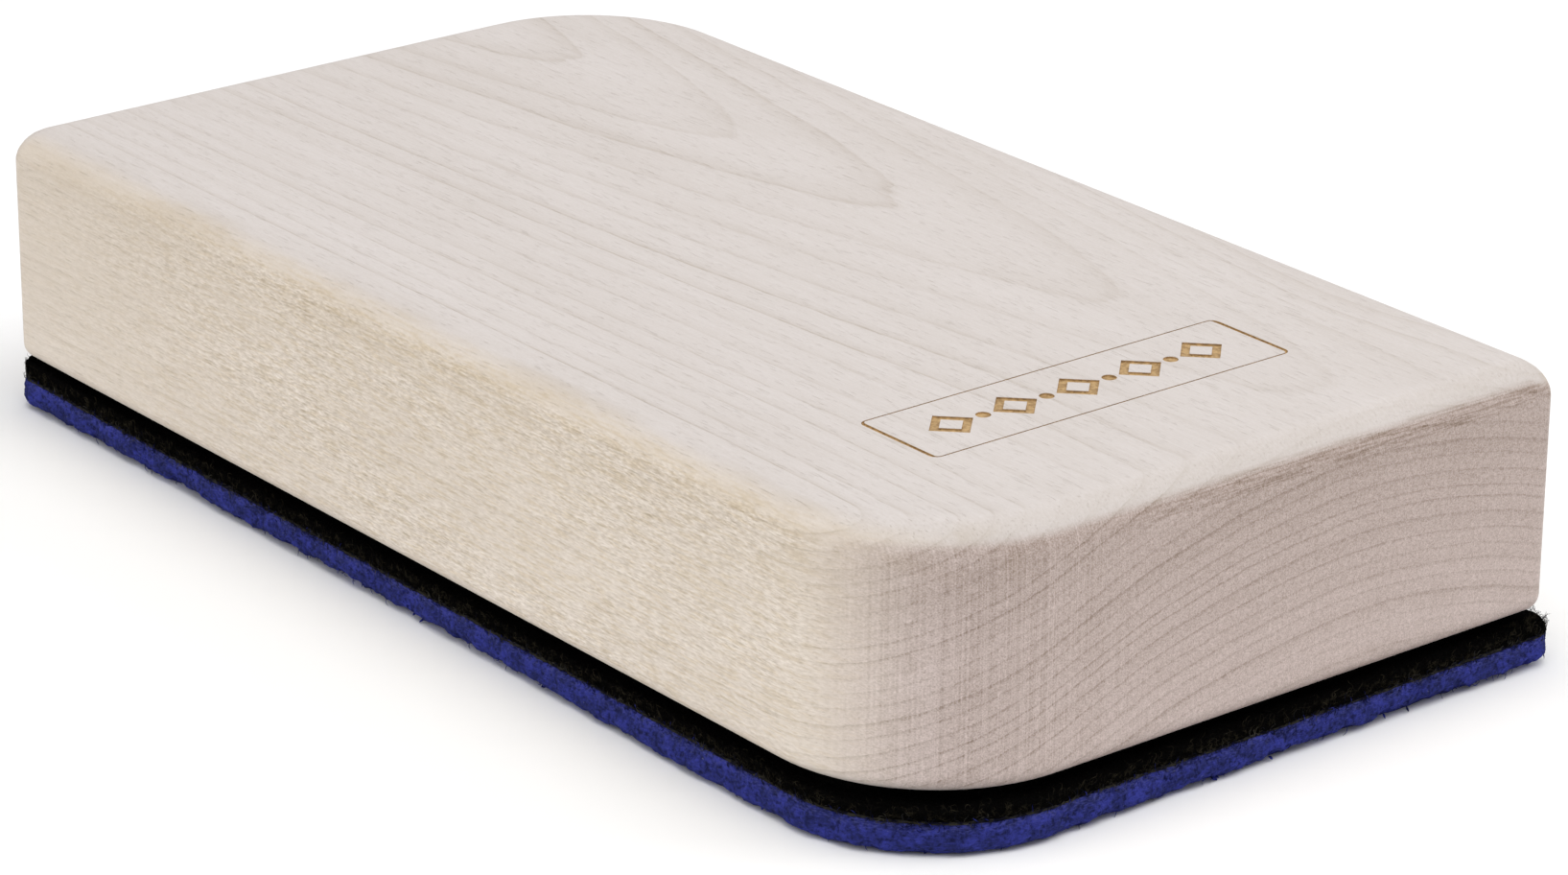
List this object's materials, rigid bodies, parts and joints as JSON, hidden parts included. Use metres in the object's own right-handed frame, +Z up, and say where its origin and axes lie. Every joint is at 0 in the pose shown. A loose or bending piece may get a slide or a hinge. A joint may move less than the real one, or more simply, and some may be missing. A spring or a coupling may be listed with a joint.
{
  "type": "board eraser",
  "caption": "Magnetic chalkboard and whiteboard eraser: a leaf-shaped maple block over a hook-and-loop felt wiping pad that lifts off to be changed.",
  "frame": {"origin": "middle of the felt's wiping face, at the bottom of the assembly", "axes": "+X along the block's length towards the engraved panel, +Y across its width, +Z up from the wiping face to the block's top"},
  "size_m": [0.161, 0.088, 0.0339],
  "materials": {
    "maple": "sanded, unvarnished, with fine growth rings and ray fleck",
    "nickel_plate": "bright nickel plate",
    "adhesive": "translucent acrylic film",
    "hook_nylon": "matt black moulded hooks",
    "black_fleece": "fuzzy black looped pile",
    "web": "thin melted adhesive web",
    "blue_felt": "soft needled felt, blue with dark and pale fibres"
  },
  "bodies": {
    "pad": {"felt_pad": "blue_felt", "bonding_web": "web", "loop_fleece": "black_fleece"},
    "block": {"wooden_block": "maple", "disc_magnet_1": "nickel_plate", "disc_magnet_2": "nickel_plate", "disc_magnet_3": "nickel_plate", "disc_magnet_4": "nickel_plate", "adhesive_film": "adhesive", "hook_sheet": "hook_nylon"}
  },
  "joints": [
    {"name": "pad_release", "type": "slide", "parent": "pad", "child": "block", "axis": [0, 0, 1], "range_m": [0, 0.03]}
  ]
}
